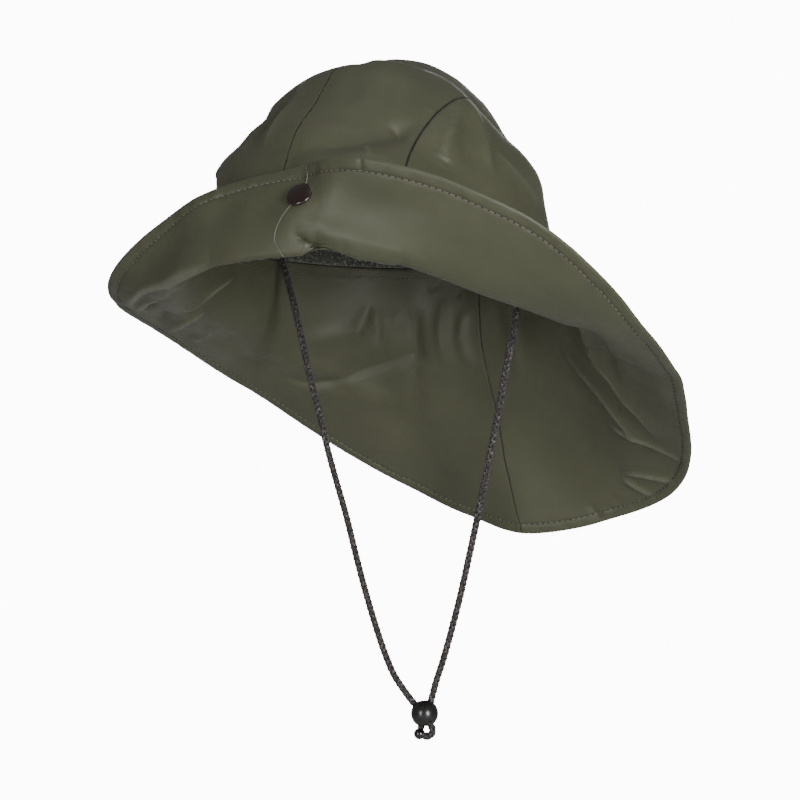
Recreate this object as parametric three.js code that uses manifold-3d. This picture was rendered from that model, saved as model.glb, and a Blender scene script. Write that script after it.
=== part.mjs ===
// A sou'wester: a soft rain hat with a domed crown of four panels, a towelling sweatband,
// a brim in two halves that is short and snapped up at the front and long at the back,
// and a chin cord that runs down to a round bead and a small stop.
//
// Millimetres. The origin is the middle of the head opening, level with the seam between
// crown and brim. -Y is the front of the hat, +X the wearer's left, +Z up.
// Angles go round the hat from the front, 0, by the wearer's left, 90, to the back, 180.

import * as THREE from 'three';
import { mergeVertices } from 'three/addons/utils/BufferGeometryUtils.js';
import Module from 'manifold-3d';

const wasm = await Module();
wasm.setup();

// The head opening, measured inside the sweatband.
const HEAD_LENGTH = 194;
const HEAD_WIDTH = 166.5;

// The crown: how round its side view is (2 is an ellipse, less is more pointed), how far
// its top sits behind the middle of the head, and where the side seams lie.
const CROWN_HEIGHT = 102;
const CROWN_WALL = 1.8;
const CROWN_ROUNDNESS = 1.86;
const CROWN_SET_BACK = 8;
const SIDE_SEAM_FROM_CENTRE = 58;

const BAND_THICKNESS = 2.4;
const BAND_HEIGHT = 30;

// The brim: its furthest reach out from the crown, how far its back edge hangs below the
// head opening, and how far its front seam has slipped to the wearer's left.
const BRIM_REACH = 85;
const BRIM_DROP = 160;
const BRIM_WALL = 2;
const HEM_WIDTH = 6.5;
const HEM_WALL = 2.8;
const FRONT_SEAM_SLIP = 12;

// The snap that holds the front of the brim up.
const SNAP_DIAMETER = 15;
const SNAP_CAP_HEIGHT = 3.2;
const SNAP_BELOW_EDGE = 18;
const SNAP_FROM_CENTRE = 20;
const STUD_DIAMETER = 10;
const POST_DIAMETER = 4;

const CORD_DIAMETER = 4.2;
const BEAD_DIAMETER = 15;
const STOP_DIAMETER = 6.2;

// Pieces that touch keep this gap.
const GAP = 0.3;

// How many steps the curved shells have.
const STEPS_AROUND = 64;
const STEPS_UP_BAND = 3;
const STEPS_ABOVE_BAND = 8;
const STEPS_ACROSS_BRIM = 10;
const CORD_SIDES = 8;

// One row for every 30 degrees round the brim, from the front. A section of the brim runs
// from the crown down through its bend and its middle to its edge. "out" is a share of
// BRIM_REACH, outwards from the crown; "down" is a share of BRIM_DROP.
const BRIM_SECTIONS = [
  { at: 0, bend: { out: 0.12, down: 0.122 }, middle: { out: 0.08, down: -0.025 }, edge: { out: -0.014, down: -0.16 } },
  { at: 30, bend: { out: 0.13, down: 0.138 }, middle: { out: 0.25, down: 0 }, edge: { out: 0.358, down: -0.149 } },
  { at: 60, bend: { out: 0.225, down: 0.244 }, middle: { out: 0.472, down: 0.169 }, edge: { out: 0.721, down: 0.034 } },
  { at: 90, bend: { out: 0.27, down: 0.306 }, middle: { out: 0.565, down: 0.356 }, edge: { out: 0.841, down: 0.346 } },
  { at: 120, bend: { out: 0.248, down: 0.325 }, middle: { out: 0.578, down: 0.481 }, edge: { out: 0.881, down: 0.596 } },
  { at: 150, bend: { out: 0.168, down: 0.325 }, middle: { out: 0.556, down: 0.625 }, edge: { out: 1.006, down: 0.875 } },
  { at: 180, bend: { out: 0.014, down: 0.281 }, middle: { out: 0.296, down: 0.631 }, edge: { out: 0.605, down: 1 } },
  { at: 210, bend: { out: 0.144, down: 0.312 }, middle: { out: 0.474, down: 0.575 }, edge: { out: 0.871, down: 0.806 } },
  { at: 240, bend: { out: 0.248, down: 0.281 }, middle: { out: 0.578, down: 0.4 }, edge: { out: 0.921, down: 0.481 } },
  { at: 270, bend: { out: 0.294, down: 0.238 }, middle: { out: 0.6, down: 0.256 }, edge: { out: 0.914, down: 0.244 } },
  { at: 300, bend: { out: 0.33, down: 0.188 }, middle: { out: 0.554, down: 0.163 }, edge: { out: 0.759, down: 0.122 } },
  { at: 330, bend: { out: 0.25, down: 0.15 }, middle: { out: 0.262, down: 0.025 }, edge: { out: 0.244, down: -0.085 } },
];

// Soft dents and ridges. "around" is the angle round the hat, "along" the share of the way
// from the head opening to the crown's top or to the brim's edge, "turn" the angle of the
// fold's length from that way, and the lengths are shares of CROWN_HEIGHT. A dent's lift
// is negative.
const CROWN_FOLDS = [
  { around: 10, along: 0.66, turn: 90, length: 0.5, width: 0.16, lift: 0.05 },
  { around: 33, along: 0.93, turn: 90, length: 0.55, width: 0.2, lift: -0.06 },
  { around: 205, along: 0.9, turn: 90, length: 0.45, width: 0.24, lift: 0.095 },
  { around: -62, along: 0.22, turn: 90, length: 0.5, width: 0.2, lift: 0.11 },
  { around: 125, along: 0.26, turn: 90, length: 0.6, width: 0.25, lift: 0.05 },
  { around: -28, along: 0.5, turn: 0, length: 0.36, width: 0.09, lift: 0.025 },
  { around: 30, along: 0.36, turn: 65, length: 0.42, width: 0.13, lift: -0.035 },
  { around: 75, along: 0.55, turn: 10, length: 0.34, width: 0.1, lift: 0.02 },
];
const BRIM_FOLDS = [
  { around: 118, along: 0.62, turn: 40, length: 0.32, width: 0.07, lift: 0.03 },
  { around: 205, along: 0.35, turn: 0, length: 0.3, width: 0.06, lift: 0.02 },
  { around: 230, along: 0.55, turn: 75, length: 0.36, width: 0.06, lift: -0.02 },
  { around: 262, along: 0.6, turn: 60, length: 0.26, width: 0.06, lift: 0.025 },
];

// The chin cord's routes, chosen by hand: each strand from under the sweatband down to the
// bead, and its tail from the bead to the stop.
const BEAD_AT = [16, 14, -258];
const STOP_AT = [13, 13.5, -269.2];
const CORD_ROUTES = {
  right: {
    strand: [
      [-82.6, 14, -0.6], [-81.2, 14, -5], [-78.6, 14, -12], [-75.6, 14, -21], [-72.2, 14, -32], [-68.6, 14, -45.5],
      [-61.7, 14, -71], [-55.4, 14, -91], [-48.8, 13.9, -113.5], [-42.4, 13.7, -132], [-35.6, 13.4, -151],
      [-28.6, 13.1, -173.5], [-22, 12.7, -193], [-14.6, 12.3, -212.5], [-8.8, 12, -226], [-3, 11.8, -237],
      [3.7, 11.6, -245.3], [9.4, 11.6, -251.4],
    ],
    tail: [[21.4, 12.2, -264.4], [22, 12.6, -266.6], [21, 13.2, -268.8], [18.8, 13.5, -270.1], [16.7, 13.5, -270.2]],
  },
  left: {
    strand: [
      [82.8, 14, -0.6], [81.9, 14, -6], [79.6, 14, -17], [77.4, 14, -28], [75, 14, -39], [72.2, 14, -54],
      [68.2, 14, -72], [63.9, 14.1, -91], [60.3, 14.2, -107], [55.5, 14.4, -127], [50, 14.8, -149], [44.5, 15.2, -170],
      [38.2, 15.6, -193], [32.4, 16, -211.5], [26.8, 16.3, -228], [22.2, 16.4, -240], [18.9, 16.3, -250.6],
    ],
    tail: [[13.1, 15.2, -265], [13, 14.6, -266.6]],
  },
};

const FABRIC = { color: 0x4b4a3e, roughness: 0.55, metalness: 0 };
const FINISHES = {
  fabric: new THREE.MeshStandardMaterial(FABRIC),
  brim_fabric: new THREE.MeshStandardMaterial({ ...FABRIC, side: THREE.DoubleSide }),
  towelling: new THREE.MeshStandardMaterial({ color: 0x3a3b33, roughness: 1, metalness: 0 }),
  snap: new THREE.MeshStandardMaterial({ color: 0x2c1a18, roughness: 0.25, metalness: 0.3 }),
  cord: new THREE.MeshStandardMaterial({ color: 0x4a403b, roughness: 0.9, metalness: 0 }),
  bead: new THREE.MeshStandardMaterial({ color: 0x171715, roughness: 0.35, metalness: 0 }),
};

const crownLength = HEAD_LENGTH + 2 * (BAND_THICKNESS + GAP + CROWN_WALL);
const crownWidth = HEAD_WIDTH + 2 * (BAND_THICKNESS + GAP + CROWN_WALL);
const radians = THREE.MathUtils.degToRad;
const hatAxis = new THREE.Vector3(0, 0, 1);

// The level direction that points out of the hat at an angle round it.
function outward(angle) {
  return new THREE.Vector3(Math.sin(radians(angle)), -Math.cos(radians(angle)), 0);
}

// How far the outside of the crown lies from the hat's axis, at the head opening.
function crownRadius(angle) {
  const way = outward(angle);
  return 1 / Math.hypot(way.x / (crownWidth / 2), way.y / (crownLength / 2));
}

// A point on the smooth crown, before its folds. along is 0 at the opening and 1 on top.
function smoothCrown(angle, along) {
  const climb = radians(90 * along);
  const round = 2 / CROWN_ROUNDNESS;
  const height = Math.sin(climb) ** round;
  const radius = crownRadius(angle) * Math.max(Math.cos(climb), 0) ** round;
  const point = outward(angle).multiplyScalar(radius);
  point.y += CROWN_SET_BACK * height ** 2;
  point.z = CROWN_HEIGHT * height;
  return point;
}

// A value from the brim's table at any angle, passing smoothly through its rows.
function brimValue(angle, place, key) {
  const rows = BRIM_SECTIONS.length;
  const position = (((angle % 360) + 360) % 360) / (360 / rows);
  const first = Math.floor(position);
  const t = position - first;
  const value = (step) => BRIM_SECTIONS[(first + step + rows) % rows][place][key];
  const [a, b, c, d] = [value(-1), value(0), value(1), value(2)];
  return b + 0.5 * t * (c - a + t * (2 * a - 5 * b + 4 * c - d + t * (3 * (b - c) + d - a)));
}

// The middle of the brim's wall along one section, as a curve from the crown to the edge.
function brimSection(angle) {
  const root = outward(angle).multiplyScalar(crownRadius(angle) - BRIM_WALL / 2);
  root.z = -GAP;
  const points = ['bend', 'middle', 'edge'].map((place) => {
    const radius = crownRadius(angle) + BRIM_REACH * brimValue(angle, place, 'out');
    const point = outward(angle).multiplyScalar(radius);
    point.z = -BRIM_DROP * brimValue(angle, place, 'down');
    return point;
  });
  return new THREE.CatmullRomCurve3([root, ...points], false, 'centripetal');
}

const sectionCache = new Map();
function smoothBrim(angle, along) {
  const key = angle.toFixed(4);
  if (!sectionCache.has(key)) sectionCache.set(key, brimSection(angle));
  return sectionCache.get(key).getPointAt(Math.min(Math.max(along, 0), 1));
}

// The outward normal of a surface given as a function of angle and along.
function normalOf(surface, angle, along) {
  const small = 0.01;
  const low = Math.min(Math.max(along - small, 0), 1 - 2 * small);
  const up = surface(angle, low + 2 * small).sub(surface(angle, low));
  const round = surface(angle + 1, Math.min(along, 1 - small)).sub(surface(angle - 1, Math.min(along, 1 - small)));
  return round.cross(up).normalize();
}

// A fold's middle, its own three directions and its lengths in millimetres.
function placeFold(surface, fold) {
  const middle = surface(fold.around, fold.along);
  const normal = normalOf(surface, fold.around, fold.along);
  const low = surface(fold.around, fold.along - 0.02);
  const length = middle.clone().sub(low).normalize().applyAxisAngle(normal, radians(fold.turn));
  return {
    middle, normal, length,
    across: normal.clone().cross(length),
    halfLength: fold.length * CROWN_HEIGHT,
    halfWidth: fold.width * CROWN_HEIGHT,
    lift: fold.lift * CROWN_HEIGHT,
  };
}

// How far the folds lift a point of the surface, fading out softly from each fold's middle.
function foldLift(folds, point) {
  return folds.reduce((sum, fold) => {
    const away = point.clone().sub(fold.middle);
    const along = away.dot(fold.length) / fold.halfLength;
    const across = away.dot(fold.across) / fold.halfWidth;
    const off = away.dot(fold.normal) / fold.halfLength;
    return sum + fold.lift * Math.exp(-(along ** 2) - across ** 2 - off ** 2);
  }, 0);
}

const crownFolds = CROWN_FOLDS.map((fold) => placeFold(smoothCrown, fold));
const brimFolds = BRIM_FOLDS.map((fold) => placeFold(smoothBrim, fold));

// A point of the folded crown, depth millimetres inside its outer face.
function crownPoint(angle, along, depth) {
  const point = smoothCrown(angle, along);
  const normal = along > 0.999 ? hatAxis : normalOf(smoothCrown, angle, along);
  const fade = Math.min(along / 0.2, 1);
  return point.addScaledVector(normal, fade * foldLift(crownFolds, point) - depth);
}

// A point of the folded brim, lift millimetres from the middle of its wall.
function brimPoint(angle, along, lift) {
  const point = smoothBrim(angle, along);
  const normal = normalOf(smoothBrim, angle, along);
  if (along === 0) normal.setZ(0).normalize();
  const fade = Math.min(along / 0.15, 1);
  return point.addScaledVector(normal, fade * foldLift(brimFolds, point) + lift);
}

// The closed surface that a profile sweeps as it goes round the hat. The profile is a list
// of points for each angle: one face of the wall, then the other face the opposite way. It
// closes on itself, or starts and ends on one point. Both faces are cut into triangles the
// same way, so the wall stays even.
function sweepRound(profileAt, closed) {
  const positions = [];
  const profiles = [];
  for (let k = 0; k < STEPS_AROUND; k += 1) profiles.push(profileAt((360 * k) / STEPS_AROUND));
  const count = profiles[0].length;
  profiles.forEach((here, k) => {
    const next = profiles[(k + 1) % STEPS_AROUND];
    for (let i = 0; i < (closed ? count : count - 1); i += 1) {
      const j = (i + 1) % count;
      const corners = i < count / 2
        ? [here[i], next[j], next[i], here[i], here[j], next[j]]
        : [here[j], next[j], next[i], here[j], next[i], here[i]];
      for (const corner of corners) positions.push(...corner.toArray());
    }
  });
  const geometry = new THREE.BufferGeometry();
  geometry.setAttribute('position', new THREE.Float32BufferAttribute(positions, 3));
  return geometry;
}

// A closed mesh as a solid that can be cut and joined.
function toSolid(geometry) {
  const bare = geometry.clone();
  bare.deleteAttribute('normal');
  bare.deleteAttribute('uv');
  const merged = mergeVertices(bare, 1e-3);
  const corners = merged.index.array;
  const triangles = [];
  for (let i = 0; i < corners.length; i += 3) {
    const [a, b, c] = corners.slice(i, i + 3);
    if (a !== b && b !== c && c !== a) triangles.push(a, b, c);
  }
  return new wasm.Manifold(new wasm.Mesh({
    numProp: 3,
    vertProperties: Float32Array.from(merged.attributes.position.array),
    triVerts: Uint32Array.from(triangles),
  }));
}

function toMesh(name, solid, finish) {
  const { vertProperties, triVerts } = solid.getMesh();
  const geometry = new THREE.BufferGeometry();
  geometry.setAttribute('position', new THREE.Float32BufferAttribute(vertProperties, 3));
  geometry.setIndex(Array.from(triVerts));
  geometry.computeVertexNormals();
  const mesh = new THREE.Mesh(geometry, finish);
  mesh.name = name;
  return mesh;
}

// A tall block between two planes across the hat, x from low to high before it is turned.
function slab(low, high, turn = 0, shift = 0) {
  const size = 4 * (BRIM_REACH + BRIM_DROP + crownLength);
  const block = new THREE.BoxGeometry(high - low, size, size).translate((low + high) / 2, 0, 0);
  return toSolid(block.rotateZ(turn).translate(shift, 0, 0));
}

// The shares at which the crown has its rings: the sweatband has the lowest of them, so
// that its faces stay parallel to the crown's.
const bandTop = Math.asin(Math.min(BAND_HEIGHT / CROWN_HEIGHT, 1) ** (CROWN_ROUNDNESS / 2)) / (Math.PI / 2);
const evenSteps = (low, high, count) => Array.from({ length: count + 1 }, (_, k) => low + ((high - low) * k) / count);
const bandShares = evenSteps(0, bandTop, STEPS_UP_BAND);
const crownShares = [...bandShares, ...evenSteps(bandTop, 1, STEPS_ABOVE_BAND).slice(1)];

// The crown's wall between two depths below its outer face, open at the bottom.
function crownShell(outerDepth, innerDepth, shares) {
  return sweepRound((angle) => {
    const inner = shares.map((along) => crownPoint(angle, along, innerDepth));
    const outer = shares.map((along) => crownPoint(angle, along, outerDepth));
    return [...outer.reverse(), ...inner];
  }, shares !== crownShares);
}

// Everything inside the crown's outer face, grown by a margin, as one block.
function crownBlock(margin) {
  return toSolid(sweepRound((angle) => {
    const skin = crownShares.map((along) => crownPoint(angle, along, -margin));
    const foot = skin[0].clone().setZ(-BAND_HEIGHT);
    return [...skin.reverse(), foot, new THREE.Vector3(0, 0, -BAND_HEIGHT)];
  }, false));
}

// The brim's whole wall, thicker at its hem, grown on both faces by a margin.
function brimShell(margin) {
  return toSolid(sweepRound((angle) => {
    const width = brimSection(angle).getLength();
    const hemStart = 1 - HEM_WIDTH / width;
    const shares = Array.from({ length: STEPS_ACROSS_BRIM + 1 }, (_, k) => (hemStart * k) / STEPS_ACROSS_BRIM);
    const wall = shares.map((along) => [along, BRIM_WALL / 2 + margin]);
    wall.push([hemStart + 0.5 / width, HEM_WALL / 2 + margin], [1, HEM_WALL / 2 + margin]);
    const underside = wall.map(([along, half]) => brimPoint(angle, along, half));
    const topside = wall.map(([along, half]) => brimPoint(angle, along, -half));
    return [...topside, ...underside.reverse()];
  }, true));
}

// A turned piece whose profile of [radius, height] pairs stands on a point along a direction.
function turnedOn(point, direction, profile, segments = 16) {
  const lathe = new THREE.LatheGeometry(profile.map(([r, h]) => new THREE.Vector2(r, h)), segments);
  const turn = new THREE.Quaternion().setFromUnitVectors(new THREE.Vector3(0, 1, 0), direction);
  return toSolid(lathe.applyQuaternion(turn).translate(...point.toArray()));
}

function tubeAlong(points) {
  const path = new THREE.CatmullRomCurve3(points.map((point) => new THREE.Vector3(...point)), false, 'centripetal');
  const section = new THREE.Shape(
    Array.from({ length: CORD_SIDES }, (_, k) => {
      const turn = (2 * Math.PI * k) / CORD_SIDES;
      return new THREE.Vector2(Math.cos(turn), Math.sin(turn)).multiplyScalar(CORD_DIAMETER / 2);
    }),
  );
  const steps = Math.max(2, Math.round(path.getLength() / (2.5 * CORD_DIAMETER)));
  return new THREE.ExtrudeGeometry(section, { steps, extrudePath: path, bevelEnabled: false });
}

function ball(diameter, at, sides) {
  return toSolid(new THREE.SphereGeometry(diameter / 2, sides, sides / 2).rotateX(Math.PI / 2).translate(...at));
}

function makeCrown() {
  const shell = toSolid(crownShell(0, CROWN_WALL, crownShares));
  const panel = (name, low, high) => toMesh(name, shell.intersect(slab(low, high)), FINISHES.fabric);
  const seam = SIDE_SEAM_FROM_CENTRE;
  const half = GAP / 2;
  return [
    panel('crown_centre_left', half, seam - half),
    panel('crown_centre_right', half - seam, -half),
    panel('crown_side_left', seam + half, crownWidth),
    panel('crown_side_right', -crownWidth, -seam - half),
  ];
}

function makeSweatband() {
  const outerDepth = CROWN_WALL + GAP;
  const ring = toSolid(crownShell(outerDepth, outerDepth + BAND_THICKNESS, bandShares));
  return toMesh('sweatband', ring, FINISHES.towelling);
}

// The brim's seams lie in one upright plane, through the slipped front seam and the middle
// of the back edge.
const seamBack = crownLength / 2 + BRIM_REACH * brimValue(180, 'edge', 'out');
const seamTurn = Math.atan2(FRONT_SEAM_SLIP, crownLength / 2 + seamBack);
const seamMiddle = seamBack * Math.tan(seamTurn);

const snapAngle = THREE.MathUtils.radToDeg(Math.atan2(SNAP_FROM_CENTRE, crownLength / 2));

function makeBrimAndSnap() {
  const whole = brimShell(0);
  const along = 1 - SNAP_BELOW_EDGE / brimSection(snapAngle).getLength();
  const seat = brimPoint(snapAngle, along, 0);
  const facing = normalOf(smoothBrim, snapAngle, along);
  const clearance = brimShell(GAP);
  const rod = (radius, low, high) => turnedOn(seat, facing, [[0, low], [radius, low], [radius, high], [0, high]]);
  const drilled = whole.subtract(rod(POST_DIAMETER / 2 + GAP, -2 * BRIM_WALL, 2 * BRIM_WALL));

  // The cap is a low dome. Its foot starts inside the wall, and is then cut to the wall's face.
  const face = BRIM_WALL / 2 + GAP;
  const r = SNAP_DIAMETER / 2;
  const dome = turnedOn(seat, facing, [
    [0, BRIM_WALL / 2 - GAP], [0.82 * r, BRIM_WALL / 2 - GAP], [r, face + 0.25 * SNAP_CAP_HEIGHT],
    [r, face + 0.45 * SNAP_CAP_HEIGHT], [0.85 * r, face + 0.75 * SNAP_CAP_HEIGHT],
    [0.5 * r, face + 0.96 * SNAP_CAP_HEIGHT], [0, face + SNAP_CAP_HEIGHT],
  ]);
  const cap = dome.subtract(clearance).subtract(rod(POST_DIAMETER / 2 + 2 * GAP, 0, face));

  // The stud runs back from the wall until it meets the crown. The post goes through the wall.
  const stud = rod(STUD_DIAMETER / 2, -HEAD_LENGTH / 4, 0).subtract(clearance).subtract(crownBlock(GAP));
  const post = rod(POST_DIAMETER / 2, -face - BRIM_WALL / 2, face - GAP);

  const far = 2 * (crownWidth + BRIM_REACH);
  return [
    toMesh('brim_left', drilled.intersect(slab(GAP / 2, far, seamTurn, seamMiddle)), FINISHES.brim_fabric),
    toMesh('brim_right', drilled.intersect(slab(-far, -GAP / 2, seamTurn, seamMiddle)), FINISHES.brim_fabric),
    toMesh('snap_cap', cap, FINISHES.snap),
    toMesh('snap_post', stud.add(post), FINISHES.snap),
  ];
}

function makeChinCord() {
  const bead = new THREE.Vector3(...BEAD_AT);
  const stop = new THREE.Vector3(...STOP_AT);
  const nearBead = ball(BEAD_DIAMETER + 2 * GAP, bead, 16);
  const nearStop = ball(STOP_DIAMETER + 2 * GAP, stop, 12);
  const meshes = [];
  for (const [side, route] of Object.entries(CORD_ROUTES)) {
    const strand = toSolid(tubeAlong([...route.strand, BEAD_AT])).subtract(nearBead);
    const tail = toSolid(tubeAlong([BEAD_AT, ...route.tail, STOP_AT])).subtract(nearBead).subtract(nearStop);
    meshes.push(toMesh(`chin_cord_${side}`, strand, FINISHES.cord), toMesh(`cord_tail_${side}`, tail, FINISHES.cord));
  }
  return [
    ...meshes,
    toMesh('cord_bead', ball(BEAD_DIAMETER, bead, 16), FINISHES.bead),
    toMesh('cord_stop', ball(STOP_DIAMETER, stop, 12), FINISHES.bead),
  ];
}

const hat = new THREE.Group();
hat.add(...makeCrown(), makeSweatband(), ...makeBrimAndSnap(), ...makeChinCord());

export default hat;
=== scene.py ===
# %% [markdown]
# # A rain hat with a snapped-up brim and a braided chin cord
#
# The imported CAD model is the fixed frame: it gives the sizes and says where each piece sits.
# This file makes what the eye sees over it, in metres, in the same frame: the sewn cloth with
# its seams, hem and creases, the towelling band, the enamelled snap, the braid and the bead.

# %% The frame
import math

import bmesh
import bpy
import numpy as np
from mathutils import Matrix, Vector


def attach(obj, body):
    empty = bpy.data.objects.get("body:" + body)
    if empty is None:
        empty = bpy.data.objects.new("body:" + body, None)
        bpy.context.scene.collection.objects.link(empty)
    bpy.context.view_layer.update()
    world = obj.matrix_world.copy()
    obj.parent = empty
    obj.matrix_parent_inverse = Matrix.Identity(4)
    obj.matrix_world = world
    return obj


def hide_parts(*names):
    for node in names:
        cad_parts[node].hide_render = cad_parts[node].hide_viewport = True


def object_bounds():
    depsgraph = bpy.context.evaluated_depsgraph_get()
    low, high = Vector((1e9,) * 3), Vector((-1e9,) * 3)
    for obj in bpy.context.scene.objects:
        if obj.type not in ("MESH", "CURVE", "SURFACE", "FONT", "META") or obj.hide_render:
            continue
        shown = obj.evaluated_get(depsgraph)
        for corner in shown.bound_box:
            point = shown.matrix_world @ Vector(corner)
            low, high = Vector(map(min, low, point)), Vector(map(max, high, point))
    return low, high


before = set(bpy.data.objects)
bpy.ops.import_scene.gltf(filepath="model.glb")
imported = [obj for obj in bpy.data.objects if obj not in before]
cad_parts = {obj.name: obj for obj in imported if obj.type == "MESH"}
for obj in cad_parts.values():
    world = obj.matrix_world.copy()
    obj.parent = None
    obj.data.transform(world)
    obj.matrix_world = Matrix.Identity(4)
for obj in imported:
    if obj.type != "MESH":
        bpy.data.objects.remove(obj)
cad_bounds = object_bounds()
MM = 0.001
print("nodes:", sorted(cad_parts))

# %% [markdown]
# ## The camera
#
# The hat was photographed from its wearer's left, a little below the rim, through a long lens.
# A long lens far away keeps the brim's curves quiet, so the camera stands over a metre off.
# It turns slightly off the line to the hat, which puts the hat where the photograph has it.

# %% The camera
IMAGE_PIXELS = 800
FOCAL_PIXELS = 1980
SENSOR = 36
CAMERA_FROM = (33.6, -8.2)
CAMERA_FACING = (33.2, -3.7)
CAMERA_DISTANCE = 1100


def direction(azimuth, elevation):
    """The unit vector towards an azimuth from the front and a height above level, in degrees."""
    turn, rise = math.radians(azimuth), math.radians(elevation)
    level = math.cos(rise)
    return Vector((math.sin(turn) * level, -math.cos(turn) * level, math.sin(rise)))


def add_object(name, data):
    """A new object in the scene that shows this data."""
    made = bpy.data.objects.new(name, data)
    bpy.context.scene.collection.objects.link(made)
    return made


camera = add_object("camera", bpy.data.cameras.new("camera"))
camera.data.sensor_width = SENSOR
camera.data.lens = SENSOR * FOCAL_PIXELS / IMAGE_PIXELS
camera.location = direction(*CAMERA_FROM) * CAMERA_DISTANCE * MM
camera.rotation_euler = (
    math.radians(90 - CAMERA_FACING[1]),
    0,
    math.radians(CAMERA_FACING[0]),
)
bpy.context.scene.camera = camera
print("camera at", [round(x, 3) for x in camera.location], "lens", round(camera.data.lens, 1))

# %% [markdown]
# ## Curves, grids and tubes
#
# Cords, seams and creases all follow a few given points. A smooth curve
# through the points gives as many places along it as a piece needs, spaced evenly. Cloth and
# tubes are both grids: a grid's corners are moved to where a table says, and a tube is a grid
# that is bent round and joined along its side.


# %% Smooth lines
CURVE_STEPS = 40
SECTION_STEPS = 24


def unit(vectors):
    return vectors / np.maximum(np.linalg.norm(vectors, axis=-1, keepdims=True), 1e-12)


def between(a, b, c, d, t):
    """Places on a smooth curve from b to c, which comes from a and goes on to d."""
    return b + 0.5 * t * (c - a + t * (2 * a - 5 * b + 4 * c - d + t * (3 * (b - c) + d - a)))


def run_along(line, axis=0):
    """How far along a line, or along each line of a table, its points lie."""
    steps = np.linalg.norm(np.diff(line, axis=axis), axis=-1)
    return np.insert(np.cumsum(steps, axis=axis), 0, 0, axis=axis)


def rows_at(want, run, rows):
    """Rows of three numbers, found between those that are known along a run."""
    return np.stack([np.interp(want, run, rows[:, k]) for k in range(3)], axis=1)


def smooth_line(points, count):
    """count places at even steps on a smooth curve through the points."""
    p = np.asarray(points, float)
    p = np.concatenate([[2 * p[0] - p[1]], p, [2 * p[-1] - p[-2]]])
    t = np.linspace(0, 1, CURVE_STEPS, endpoint=False)[:, None]
    parts = [between(*four, t) for four in zip(p, p[1:], p[2:], p[3:])]
    fine = np.concatenate(parts + [p[-2:-1]])
    run = run_along(fine)
    return rows_at(np.linspace(0, run[-1], count), run, fine)


# %% Pieces from a bmesh
WELD_MM = 0.001


def weld(bm, distance=WELD_MM):
    """Joins the corners that lie on each other."""
    bmesh.ops.remove_doubles(bm, verts=bm.verts, dist=distance)


def new_piece(name, bm, materials, slot, *replaced):
    """A bmesh in millimetres becomes a named piece in metres that rides on the hat."""
    bmesh.ops.scale(bm, vec=(MM, MM, MM), verts=bm.verts)
    mesh = bpy.data.meshes.new(name)
    bm.to_mesh(mesh)
    bm.free()
    for face in mesh.polygons:
        face.use_smooth = True
    for material in materials:
        mesh.materials.append(material)
    piece = add_object(name, mesh)
    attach(piece, "root")
    if replaced:
        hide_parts(*replaced)
    print(f"{name}: {len(mesh.polygons)} faces")
    return piece


def lay_grid(bm, places, flip=False, wear_and_painted_light=None):
    """A grid whose corners stand on a table of places[column, row]; returns its faces."""
    columns, rows = places.shape[:2]
    made = bmesh.ops.create_grid(bm, x_segments=columns - 1, y_segments=rows - 1, size=1)
    layer = bm.verts.layers.float.get("wear_and_painted_light")
    for corner in made["verts"]:
        column = round((corner.co.x + 1) / 2 * (columns - 1))
        row = round((corner.co.y + 1) / 2 * (rows - 1))
        corner.co = places[column, row]
        if wear_and_painted_light is not None:
            corner[layer] = wear_and_painted_light[column, row]
    faces = list({face for corner in made["verts"] for face in corner.link_faces})
    if flip:
        bmesh.ops.reverse_faces(bm, faces=faces)
    return faces


def lay_tube(bm, centres, radius, sides, outward=None, flatten=1.0):
    """A tube round a line of centres, to a point at both ends, whose radius may change on the way."""
    along = unit(np.gradient(centres, axis=0))
    guide = np.cross(along, (0.3, 0.9, 0.1)) if outward is None else outward
    across = unit(guide - along * (guide * along).sum(axis=1, keepdims=True))
    other = np.cross(along, across)
    turns = np.linspace(0, 2 * math.pi, sides + 1)[:, None, None]
    size = np.zeros(len(centres)) + radius
    size[[0, -1]] = 0
    ring = (np.cos(turns) * across * flatten + np.sin(turns) * other) * size[:, None]
    return lay_grid(bm, centres + ring)


# %% [markdown]
# ## Materials
#
# The hat is sewn from coated rain cloth: a smooth, dark olive skin with a soft sheen. It has
# no weave to speak of, but it is never quite even, so slow noise shifts its colour and gloss,
# and fine noise gives it the faint grain of a coating. Where an edge has rubbed, the coating is
# paler. The pale lines on the crests are partly rubbed coating and partly painted highlight, and
# the dark lines in the seams, in grooves and along the stitches are painted shade, with some dirt
# in the seams. Every pattern reads Object coordinates.


# %% Node helpers
def new_material(name):
    material = bpy.data.materials.new(name)
    material.use_nodes = True
    nodes, links = material.node_tree.nodes, material.node_tree.links
    return material, nodes, links, nodes["Principled BSDF"]


def set_inputs(node, numbers):
    for name, number in numbers.items():
        node.inputs[name].default_value = number


def noise(nodes, links, scale, detail, roughness=0.55):
    """A noise pattern in object space, with scale in waves to the metre."""
    place = nodes.new("ShaderNodeTexCoord")
    pattern = nodes.new("ShaderNodeTexNoise")
    set_inputs(pattern, {"Scale": scale, "Detail": detail, "Roughness": roughness})
    links.new(place.outputs["Object"], pattern.inputs["Vector"])
    return pattern.outputs["Fac"]


def ramp(nodes, links, value, stops):
    """A colour for each value, from stops of (value, colour)."""
    node = nodes.new("ShaderNodeValToRGB")
    band = node.color_ramp
    while len(band.elements) < len(stops):
        band.elements.new(0.5)
    for element, (place, colour) in zip(band.elements, stops):
        element.position = place
        element.color = (*colour, 1)
    links.new(value, node.inputs["Fac"])
    return node.outputs["Color"]


def map_range(nodes, links, value, low, high, to_low, to_high):
    node = nodes.new("ShaderNodeMapRange")
    set_inputs(node, {"From Min": low, "From Max": high, "To Min": to_low, "To Max": to_high})
    links.new(value, node.inputs["Value"])
    return node.outputs["Result"]


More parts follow.
